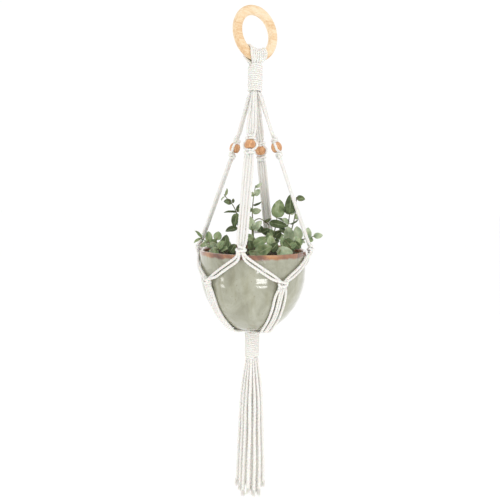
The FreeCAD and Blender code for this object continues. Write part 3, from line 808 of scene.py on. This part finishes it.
def frayedEnd(name, line, at, opened):
    # the yarns of the cut end, opened out below the last twist
    tip, total = line[-1], at[-1]
    first = int(np.searchsorted(at, total - fraySet["start"] * opened))
    root = line[first]
    down = (tip - root) / np.linalg.norm(tip - root)
    side = np.cross(down, (0.2, 0.9, 0.1))
    side /= np.linalg.norm(side)
    other = np.cross(down, side)
    verts, faces, uvs = [], [], []
    sides = fraySet["sides"]
    reach = np.linalg.norm(tip - root)
    for yarn in range(fraySet["yarns"]):
        angle = yarn * fraySet["golden"]
        share = math.sqrt((yarn + 0.5) / fraySet["yarns"])
        spread = fraySet["spread"] * share * (0.7 + 0.3 * opened)
        wave, phase = random.uniform(0.2, 0.7) * mm, random.uniform(0, 6.28)
        length = reach + random.uniform(-1.0, 0.45) * fraySet["ragged"]
        thick = fraySet["thick"] * random.uniform(0.75, 1.15) / 2
        base = len(verts)
        for step in range(fraySet["steps"]):
            t = step / (fraySet["steps"] - 1)
            width = fraySet["root"] * share + (spread - fraySet["root"] * share) * t ** 1.25
            turn = angle + 0.5 * (1 - t)
            centre = (root + down * (length * t) + side * width * math.cos(turn)
                      + other * width * math.sin(turn))
            centre = centre + (side * math.sin(phase + 7 * t) + other * math.cos(phase + 5 * t)) * wave * t
            for j in range(sides):
                a = 2 * math.pi * j / sides
                r = thick * (1.0 if t < 1 else 0.6)
                verts.append((centre + (side * math.cos(a) + other * math.sin(a)) * r).tolist())
        for step in range(fraySet["steps"] - 1):
            for j in range(sides):
                k = (j + 1) % sides
                a, b = base + step * sides, base + (step + 1) * sides
                faces.append((a + j, a + k, b + k, b + j))
                u, v0, v1 = step / 2, j / sides, k / sides
                uvs.extend(((u, v0), (u, v1), (u + 0.5, v1), (u + 0.5, v0)))
        end = base + (fraySet["steps"] - 1) * sides
        faces.append(tuple(reversed(range(base, base + sides))))
        faces.append(tuple(range(end, end + sides)))
        uvs.extend(((0.0, 0.0),) * sides + ((1.0, 0.5),) * sides)
    return newMesh(name, verts, faces, cotton, uvs)


def tasselRide(piece):
    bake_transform(piece)


for number, (tip, places) in enumerate(strandPlan, 1):
    route = [np.array((x * mm, y * mm, strandTop - level * mm))
             for (x, y), level in zip(places, strandLevels)]
    route[-1] = route[-1] - np.array((0, 0, tip * mm))
    line, at = evenLine(splineLine(route, 12), ropeSet["step"])
    opened = fraySet["opened"].get(number, fraySet["usual"])
    cut = int(np.searchsorted(at, at[-1] - fraySet["bare"]))
    # a hanging strand relaxes and thickens below the wrap
    ease = np.clip(at[:cut] / strandSwell["over"], 0, 1)
    radius = cordDiameter / 2 * (1 + strandSwell["grow"] * ease * ease * (3 - 2 * ease))
    rings = ropeRings(line[:cut], at[:cut], radius[:, None], strandSwell["lay"])
    strand = ropePiece("strand_%02d" % number, [(rings, at[:cut])], cotton, cordDiameter)
    fray = frayedEnd("frayedEnd_%02d" % number, line, at, opened)
    tasselRide(strand)
    tasselRide(fray)
    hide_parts("tassel_strand_%02d" % number)
print("tassel strands hung")

# Bowl, thrown and glazed

glaze = reactiveGlaze(rimTop)
bowlLook = {"steps": 128, "rimRound": 2.3 * mm, "rows": 60, "throwing": 0.16 * mm,
            "underside": ((0, 1.2), (26, 1.2), (29, 0.9), (30.5, 0.2), (32, 0))}


def onlySelect(*pieces):
    bpy.ops.object.select_all(action="DESELECT")
    for piece in pieces:
        piece.select_set(True)
    bpy.context.view_layer.objects.active = pieces[0]


def spinOutline(name, outline, steps, material):
    # turns a closed outline in the XZ plane about Z, with its end points on the axis
    verts, edges = [(x, 0.0, z) for x, z in outline], [(i, i + 1) for i in range(len(outline) - 1)]
    mesh = bpy.data.meshes.new(name)
    mesh.from_pydata(verts, edges, [])
    piece = bpy.data.objects.new(name, mesh)
    scene.collection.objects.link(piece)
    onlySelect(piece)
    bpy.ops.object.mode_set(mode="EDIT")
    bpy.ops.mesh.select_all(action="SELECT")
    bpy.ops.mesh.spin(steps=steps, angle=2 * math.pi, center=(0, 0, 0), axis=(0, 0, 1))
    bpy.ops.mesh.select_all(action="SELECT")
    bpy.ops.mesh.remove_doubles(threshold=0.00002)
    bpy.ops.mesh.select_all(action="SELECT")
    bpy.ops.mesh.normals_make_consistent(inside=False)
    bpy.ops.object.mode_set(mode="OBJECT")
    mesh.materials.append(material)
    mesh.polygons.foreach_set("use_smooth", [True] * len(mesh.polygons))
    return piece


def bowlOutline():
    s, wall, foot, base = bowlLook, bowlSet["wall"], bowlSet["foot"], bowlBase
    points = [(radius * mm, base + rise * mm) for radius, rise in s["underside"]]
    points += [(foot - 1.6 * mm, base), (foot - 0.3 * mm, base + 0.5 * mm)]
    top = rimTop - s["rimRound"]
    for row in range(1, s["rows"] + 1):
        z = base + 0.9 * mm + (top - base - 0.9 * mm) * row / s["rows"]
        # faint rings that the potter's fingers leave
        fade = 0.4 + 0.6 * math.sin((z - base) / 0.017) ** 2
        ripple = s["throwing"] * math.sin((z - base) / 0.0021) * fade
        points.append((bowlRadius(z) - s["throwing"] + ripple, z))
    middle = bowlRadius(top) - wall / 2
    for step in range(1, 8):
        angle = math.pi * step / 8
        points.append((middle + wall / 2 * math.cos(angle), top + s["rimRound"] * math.sin(angle)))
    for row in range(s["rows"] // 2, 0, -1):
        z = base + wall + (top - base - wall) * row / (s["rows"] // 2)
        points.append((bowlRadius(z) - wall, z))
    points.append((30 * mm, base + wall + 0.5 * mm))
    points.append((0.0, base + wall))
    return points


bowl = spinOutline("glazedBowl", bowlOutline(), bowlLook["steps"], glaze)
attach(bowl, "planter", ("bowl",))

# Foam with moss on top

foamLook = {"drop": 9.0 * mm, "clear": 0.4 * mm, "lumps": 2.6 * mm, "rings": 26, "around": 96}


def addFoam(s):
    top = rimTop - s["drop"]
    outer = bowlRadius(top) - bowlSet["wall"] - s["clear"]
    around = s["around"]
    verts, faces = [(0.0, 0.0, top + 2 * mm)], []
    for ring in range(1, s["rings"] + 1):
        radius = outer * ring / s["rings"]
        fade = min(1.0, (s["rings"] - ring) / 3)
        for place in range(around):
            angle = 2 * math.pi * place / around
            x, y = radius * math.cos(angle), radius * math.sin(angle)
            lump = (math.sin(x * 310 + 1.3) * math.sin(y * 270) + 0.7 * math.sin(x * 620 + y * 540)
                    + 0.5 * random.uniform(-1, 1))
            verts.append((x, y, top + s["lumps"] * (0.6 * lump + 0.35) * fade))
    for depth, share in ((12 * mm, 0.97), (40 * mm, 0.9), (80 * mm, 0.6)):
        z = top - depth
        radius = min(bowlRadius(z) - bowlSet["wall"] - s["clear"], outer)
        for place in range(around):
            angle = 2 * math.pi * place / around
            verts.append((radius * math.cos(angle), radius * math.sin(angle), z))
    rows = s["rings"] + 3
    for place in range(around):
        after = (place + 1) % around
        faces.append((0, 1 + place, 1 + after))
        for row in range(rows - 1):
            a, b = 1 + row * around, 1 + (row + 1) * around
            faces.append((a + place, b + place, b + after, a + after))
    faces.append(tuple(reversed(range(1 + (rows - 1) * around, 1 + rows * around))))
    foam = newMesh("mossyFoam", verts, faces, moss)
    return attach(foam, "planter", ("potting_foam",))


addFoam(foamLook)

# Beads, turned with a hole and eased edges

beadLook = {"radius": 8.0 * mm, "half": 6.5 * mm, "end": 5.6 * mm, "hole": 4.3 * mm, "ease": 0.5 * mm}


def makeBead(number):
    s = beadLook
    outline = [(s["hole"], 0.0), (s["hole"], -s["half"] * 0.5), (s["hole"], -s["half"] + s["ease"]),
               (s["hole"] + s["ease"], -s["half"])]
    edge = math.acos((s["end"] + 0.2 * mm) / s["radius"])
    outline.append((s["end"] - 0.2 * mm, -s["half"]))
    bulge = s["half"] / math.sin(edge)
    for step in range(13):
        angle = -edge + 2 * edge * step / 12
        outline.append((s["radius"] * math.cos(angle), bulge * math.sin(angle) * 0.985))
    outline += [(s["end"] - 0.2 * mm, s["half"]), (s["hole"] + s["ease"], s["half"]),
                (s["hole"], s["half"] - s["ease"]), (s["hole"], s["half"] * 0.5), (s["hole"], 0.0)]
    bead = spinOutline("turnedBead_%d" % number, outline, 40, beadWood)
    sennit = sennits[number]
    turn = Matrix((sennit.across, sennit.middle.outward, sennit.along)).transposed().to_4x4()
    spin = Matrix.Rotation(number * 1.9, 4, "Z")
    bead.data.transform(Matrix.Translation(Vector(sennit.bead)) @ turn @ spin)
    if turn.determinant() < 0:
        bead.data.flip_normals()
    bead.data.update()
    return attach(bead, "bead_%d" % number, ("bead_%d" % number,))


for number in sennits:
    makeBead(number)

# Ring, turned from beech

ringLook = {"around": 120, "section": 32}


def makeRing(s):
    middle = boxMiddle("wooden_ring")
    bpy.ops.mesh.primitive_torus_add(major_segments=s["around"], minor_segments=s["section"],
                                     major_radius=loopSet["bar"], minor_radius=loopSet["barThick"],
                                     location=tuple(middle), rotation=(math.radians(90), 0, 0))
    ring = bpy.context.active_object
    ring.name = "turnedRing"
    bpy.ops.object.transform_apply(location=True, rotation=True, scale=True)
    ring.data.materials.append(beech)
    bpy.ops.object.shade_smooth()
    return attach(ring, "ring", ("wooden_ring",))


makeRing(ringLook)
print("bowl, foam, beads and ring made")

# Eucalyptus: stems and leaves placed one by one, in millimetres right, up and near from the rim's centre

frontTurn = math.radians(cameraSet["azimuth"])
towardsFront = np.array((math.sin(frontTurn), -math.cos(frontTurn), 0))
# tone deep is a darker leaf green, and in places painted shade where leaves lie in shadow
leafTones = {"sage": 0, "deep": 1, "pale": 2}


def fromFront(right, up, near):
    return (outwards(frontTurn) * right + towardsFront * near) * mm + upTo(rimTop + up * mm)


# each sprig: the places along its stem, then its leaves as base, tip, width, tilt and tone
sprigs = {
    "eucalyptus_left": [
        ([(-8, -8, 0), (-16, 12, -12), (-24, 30, -22), (-25, 52, -25), (-33, 68, -25), (-42, 76, -26),
          (-46, 82, -27)],
         [((-45, 80, -26), (-41, 92, -28), 6, 62, "sage"),
          ((-45, 79, -26), (-50, 73, -20), 5, 50, "pale"),
          ((-34, 69, -25), (-46, 72, -22), 11, 8, "deep"),
          ((-33, 69, -25), (-31, 76, -29), 5, 30, "deep"),
          ((-26, 54, -25), (-46, 55, -22), 9, 78, "deep"),
          ((-25, 55, -25), (-19, 68, -28), 10, 30, "deep"),
          ((-25, 53, -24), (-30, 32, -19), 13, 12, "deep"),
          ((-24, 30, -22), (-43, 26, -18), 12, 28, "deep"),
          ((-22, 26, -20), (-8, 36, -24), 11, 20, "sage")]),
        ([(-40, -8, 18), (-50, 2, 17), (-60, 8, 16), (-70, 13, 14), (-78, 16, 12)],
         [((-76, 16, 12), (-86, 28, 10), 6, 35, "sage"), ((-77, 16, 12), (-88, 10, 13), 6, 30, "sage"),
          ((-66, 10, 14), (-66, 27, 10), 11, 20, "sage"), ((-67, 11, 14), (-76, 6, 26), 8, -35, "sage"),
          ((-54, 14, 15), (-51, 27, 12), 12, 10, "sage"), ((-57, 6, 20), (-70, 9, 26), 8, -52, "pale"),
          ((-54, 5, 24), (-62, 12, 32), 9, -20, "pale")]),
        ([(-28, -8, 22), (-36, -2, 26), (-44, 2, 30), (-52, 3, 34)],
         [((-43, 2, 26), (-39, 23, 20), 13, 8, "deep"), ((-50, 3, 32), (-42, 15, 36), 12, -15, "sage"),
          ((-50, 2, 34), (-62, 1, 42), 10, -40, "pale"), ((-46, 1, 36), (-36, 6, 44), 10, -25, "sage"),
          # the first deep leaf below is a dark leaf put into a patch of shadow by the front left rim: painted
          # shade
          ((-34, -3, 30), (-26, 10, 26), 12, 15, "deep"), ((-52, 2, 36), (-56, -3, 50), 10, -30, "sage")]),
        ([(-30, -8, -18), (-44, 2, -24), (-56, 6, -30)],
         [((-44, 2, -24), (-50, 12, -20), 11, 20, "deep"),
          ((-56, 6, -30), (-68, 8, -36), 10, -30, "sage"),
          ((-40, 0, -24), (-38, 10, -36), 11, 40, "sage"), ((-52, 5, -28), (-50, 8, -44), 10, -50, "pale")])],
    "eucalyptus_back": [
        ([(2, -8, -16), (0, 26, -24), (-2, 56, -30), (0, 80, -32), (3, 97, -33)],
         [((2, 94, -32), (14, 101, -34), 6, 50, "pale"), ((1, 81, -32), (10, 91, -34), 9, 20, "pale"),
          ((0, 80, -32), (-9, 88, -30), 8, 15, "sage"), ((-1, 66, -31), (13, 71, -33), 5, 74, "deep"),
          ((-2, 56, -30), (12, 58, -27), 10, 30, "pale"), ((-2, 56, -30), (-15, 62, -32), 10, 20, "sage")]),
        ([(22, -8, -30), (30, 4, -44), (35, 12, -54), (37, 16, -61)],
         [((30, 4, -44), (20, 14, -48), 12, 25, "sage"), ((30, 4, -44), (42, 10, -40), 12, -20, "deep"),
          ((36, 12, -56), (28, 20, -64), 11, 40, "pale"), ((37, 12, -57), (50, 18, -58), 12, -10, "sage"),
          ((37, 16, -61), (29, 26, -62), 11, -60, "sage"), ((37, 16, -61), (46, 26, -57), 9, 20, "pale")]),
        ([(-4, -8, -40), (-8, 4, -54), (-14, 10, -66)],
         [((-8, 4, -54), (-20, 8, -52), 12, 10, "deep"), ((-8, 4, -54), (4, 12, -58), 12, 20, "sage"),
          ((-14, 10, -66), (-24, 10, -76), 11, -40, "sage"),
          ((-14, 10, -66), (-4, 14, -76), 11, -35, "pale"), ((-6, 1, -48), (-2, 14, -44), 11, 10, "deep")])],
    "eucalyptus_right": [
        ([(4, -8, 8), (-1, 12, 2), (-2, 30, -2), (0, 42, -4), (9, 47, -4), (17, 42, -5), (24, 36, -5)],
         [((-2, 28, -2), (-6, 50, -4), 12, 5, "pale"), ((0, 28, 0), (12, 43, 2), 11, 0, "pale"),
          ((12, 25, -6), (8, 36, -8), 11, 10, "deep"), ((13, 24, -6), (25, 30, -8), 10, 25, "deep"),
          ((26, 14, 0), (22, 25, -2), 11, 15, "sage"), ((0, 14, 4), (-12, 22, 6), 11, 10, "sage"),
          ((-3, 3, 20), (-5, 15, 22), 10, 20, "deep"), ((16, 41, -5), (27, 46, -8), 7, 60, "deep")]),
        ([(24, -8, -6), (30, 16, -8), (34, 34, -8), (36, 49, -8)],
         [((35, 47, -8), (40, 75, -6), 20, 6, "sage"), ((24, 40, -6), (52, 35, -2), 12, 18, "deep"),
          ((48, 41, -8), (37, 47, -10), 8, 40, "deep"), ((32, 22, -8), (20, 28, -10), 11, 20, "sage"),
          ((31, 18, -8), (43, 26, -10), 12, 15, "deep")]),
        ([(40, -8, -4), (48, 14, -6), (52, 34, -7), (54, 44, -8), (55, 54, -8)],
         [((55, 53, -8), (56, 83, -6), 17, 10, "deep"), ((55, 53, -8), (62, 61, -9), 9, 20, "pale"),
          ((55, 53, -8), (44, 64, -8), 11, 25, "deep"), ((54, 38, -7), (44, 47, -4), 9, 15, "pale"),
          ((56, 38, -7), (69, 45, -9), 4, 76, "deep"), ((50, 24, -7), (40, 32, -10), 11, 30, "deep")]),
        ([(44, -8, -10), (56, 20, -12), (63, 46, -10), (64, 64, -9), (65, 79, -8)],
         [((65, 78, -8), (78, 76, -6), 9, 12, "deep"), ((64, 62, -9), (57, 72, -14), 8, 40, "sage"),
          ((63, 46, -10), (70, 54, -16), 8, 30, "sage")]),
        ([(44, -8, 4), (54, 8, 0), (68, 14, -4), (82, 16, -9), (94, 20, -11)],
         [((54, 12, 2), (52, 35, 2), 16, 8, "pale"), ((68, 14, -4), (66, 35, -4), 15, 0, "pale"),
          ((82, 15, -9), (84, 33, -11), 12, 10, "pale"), ((92, 20, -11), (107, 21, -13), 9, 18, "pale"),
          ((82, 16, -9), (92, 13, -10), 9, 20, "sage"), ((70, 14, -5), (80, 10, -10), 9, -30, "pale"),
          ((60, 11, 0), (62, 24, -10), 12, 40, "sage")]),
        ([(12, -8, 34), (18, -2, 42), (24, 4, 48), (26, 8, 52)],
         [((3, -3, 46), (25, 10, 52), 17, 4, "sage"), ((0, 8, 36), (20, 21, 38), 14, 8, "sage"),
          ((25, 7, 40), (24, 24, 38), 13, 16, "sage"), ((-4, 4, 44), (-5, 16, 46), 10, 25, "deep"),
          ((6, -4, 44), (-6, 2, 56), 11, -20, "sage"), ((24, 2, 46), (34, 14, 44), 12, 20, "deep")]),
        ([(34, -8, 30), (40, -2, 36), (46, 4, 40), (52, 8, 42)],
         [((32, 2, 42), (56, 1, 46), 14, -6, "pale"), ((44, 18, 36), (59, 4, 42), 14, 10, "deep"),
          ((46, 6, 38), (40, 22, 34), 12, 20, "sage"), ((40, -2, 40), (34, -1, 56), 12, -40, "sage"),
          ((52, 8, 42), (60, 14, 44), 9, 5, "sage")]),
        ([(50, -8, 18), (58, 2, 24), (66, 8, 28)],
         [((56, 12, 26), (69, 6, 29), 11, 14, "deep"), ((58, 14, 24), (69, 21, 18), 9, -10, "pale"),
          ((58, 4, 26), (52, 14, 24), 11, 10, "deep"), ((64, 8, 28), (68, 20, 22), 11, 15, "sage")]),
        ([(46, -8, -26), (58, 4, -36), (66, 10, -42)],
         [((58, 4, -36), (52, 16, -40), 12, 20, "sage"), ((66, 10, -42), (76, 16, -44), 11, 0, "pale"),
          ((66, 10, -42), (64, 16, -54), 11, -60, "sage"), ((50, -2, -30), (44, 12, -34), 12, 30, "deep")])]}
leafSet = {"across": 8, "along": 10, "thick": 0.035, "cup": 0.16, "droop": 0.12, "upward": 0.45, "jitter": 6,
           "depth": 0.8}
stemSet = {"step": 0.002, "root": 1.15, "taper": 0.5, "round": 0.96, "stalkStep": 0.0015, "stalk": 0.5 * mm}


def leafShape(s):
    # one leaf from a grid: egg shaped with a short point, cupped, and thick enough to have an edge
    bpy.ops.mesh.primitive_grid_add(x_subdivisions=s["across"], y_subdivisions=s["along"], size=1)
    leaf = bpy.context.active_object
    mesh = leaf.data
    for loop in mesh.uv_layers.active.data:
        loop.uv.x = 2 * loop.uv.x - 1
    for vertex in mesh.vertices:
        across, along = 2 * vertex.co.x, vertex.co.y + 0.5
        half = 0.5 * math.sin(math.pi * min(1.0, along ** 0.78)) ** 0.62 + 0.012
        lift = s["cup"] * (abs(across) ** 1.6) * half * 1.6 - s["droop"] * (along - 0.2) ** 2
        ruffle = 0.018 * math.sin(along * 11) * abs(across)
        vertex.co = (across * half, along, lift + ruffle)
    solid = leaf.modifiers.new("thickness", "SOLIDIFY")
    solid.thickness = s["thick"]
    solid.offset = 0
    bpy.ops.object.modifier_apply(modifier=solid.name)
    shape = np.array([v.co for v in mesh.vertices])
    faces = [tuple(p.vertices) for p in mesh.polygons]
    uvs = np.array([tuple(item.uv) for item in mesh.uv_layers.active.data])
    bpy.data.objects.remove(leaf)
    return shape, faces, uvs


leafParts = leafShape(leafSet)


def placeLeaves(name, leaves):
    shape, faces, uvs = leafParts
    allVerts, allFaces, allTones = [], [], []
    for base, tip, width, tilt, tone in leaves:
        start, end = fromFront(*base), fromFront(*tip)
        along = end - start
        length = np.linalg.norm(along)
        along = along / length
        # a leaf with no tilt faces forwards and a little up
        facing = towardsFront + upTo(leafSet["upward"])
        facing = facing - along * facing.dot(along)
        facing = facing / np.linalg.norm(facing)
        across = np.cross(along, facing)
        turn = math.radians(tilt + random.uniform(-leafSet["jitter"], leafSet["jitter"]))
        facing, across = (facing * math.cos(turn) + across * math.sin(turn),
                          across * math.cos(turn) - facing * math.sin(turn))
        verts = (start + shape[:, :1] * across * width * mm + shape[:, 1:2] * along * length
                 + shape[:, 2:] * facing * length * leafSet["depth"])
        first = len(allVerts)
        allVerts.extend(verts.tolist())
        allFaces.extend(tuple(first + i for i in face) for face in faces)
        allTones.extend([leafTones[tone]] * len(faces))
    piece = newMesh(name, allVerts, allFaces, leafGreens[0], np.tile(uvs, (len(leaves), 1)))
    for green in leafGreens[1:]:
        piece.data.materials.append(green)
    piece.data.polygons.foreach_set("material_index", allTones)
    return piece


def placeStem(name, stem, leaves):
    # the stem and the short stalks that lead from it to its leaves
    s = stemSet
    line, at = evenLine(splineLine([fromFront(*place) for place in stem], 8), s["step"])
    width = (s["root"] - s["taper"] * at / at[-1]) * mm
    stretches = [(ropeRings(line, at, width[:, None], 1.0, s["round"]), at)]
    for base, tip, _, _, _ in leaves:
        start, end = fromFront(*base), fromFront(*tip)
        away = np.linalg.norm(line - start, axis=1) + 0.4 * np.abs(line[:, 2] - start[2])
        nearest = line[int(np.argmin(away))]
        inside = start + (end - start) * 0.3
        if np.linalg.norm(nearest - inside) > 1.5 * mm:
            sag = (nearest + start) / 2 + upTo(0.8 * mm)
            stalk, stalkAt = evenLine(splineLine([nearest, sag, start, inside], 6), s["stalkStep"])
            stretches.append((ropeRings(stalk, stalkAt, s["stalk"], 1.0, s["round"]), stalkAt))
    return ropePiece(name, stretches, stemPlastic, 0.004)


for node, group in sprigs.items():
    made = []
    for number, (stem, leaves) in enumerate(group):
        made.append(placeStem("%s_stem_%d" % (node, number), stem, leaves))
        made.append(placeLeaves("%s_leaves_%d" % (node, number), leaves))
    onlySelect(*made)
    bpy.ops.object.join()
    made[0].name = "faux_" + node
    attach(made[0], "planter", (node,))
print("eucalyptus placed")

# Stage

stageSet = {"floor": -0.98, "width": 60.0, "glow": 1.03, "aim": -0.35}


def addStage(s):
    bpy.ops.mesh.primitive_plane_add(size=s["width"], location=(0, 0, s["floor"]))
    floor = bpy.context.active_object
    floor.name = "seamlessPaper"
    floor.data.materials.append(paper)
    bpy.ops.object.transform_apply(location=True, rotation=True, scale=True)
    world = bpy.data.worlds.new("studioWorld")
    world.use_nodes = True
    sky = world.node_tree.nodes["Background"]
    sky.inputs["Color"].default_value = (1, 1, 1, 1)
    sky.inputs["Strength"].default_value = s["glow"]
    scene.world = world
    scene.view_settings.view_transform = "Standard"


def addSoftbox(name, place, size, power, height=None):
    data = bpy.data.lights.new(name, "AREA")
    data.shape = "RECTANGLE" if height else "DISK"
    data.size = size
    data.size_y = height or size
    data.energy = power
    light = bpy.data.objects.new(name, data)
    scene.collection.objects.link(light)
    light.location = place
    aim = Vector((0, 0, stageSet["aim"])) - Vector(place)
    light.rotation_euler = aim.to_track_quat("-Z", "Y").to_euler()


addStage(stageSet)
addSoftbox("keySoftbox", (0.35, -1.4, 0.75), size=0.9, power=2.6)
addSoftbox("fillSoftbox", (-1.6, -0.6, 0.1), size=1.4, power=0.9)
# window panes that the glaze mirrors
addSoftbox("upperPane", (-0.34, -1.0, -0.70), size=0.42, power=0.8, height=0.08)
addSoftbox("lowerPane", (-0.31, -1.0, -0.80), size=0.26, power=0.35, height=0.06)
addSoftbox("sidePane", (-0.96, 0.24, -0.74), size=0.12, power=0.35, height=0.2)
addSoftbox("backSoftbox", (0.4, 1.6, 0.6), size=1.2, power=2.4)
print("stage and lights set")
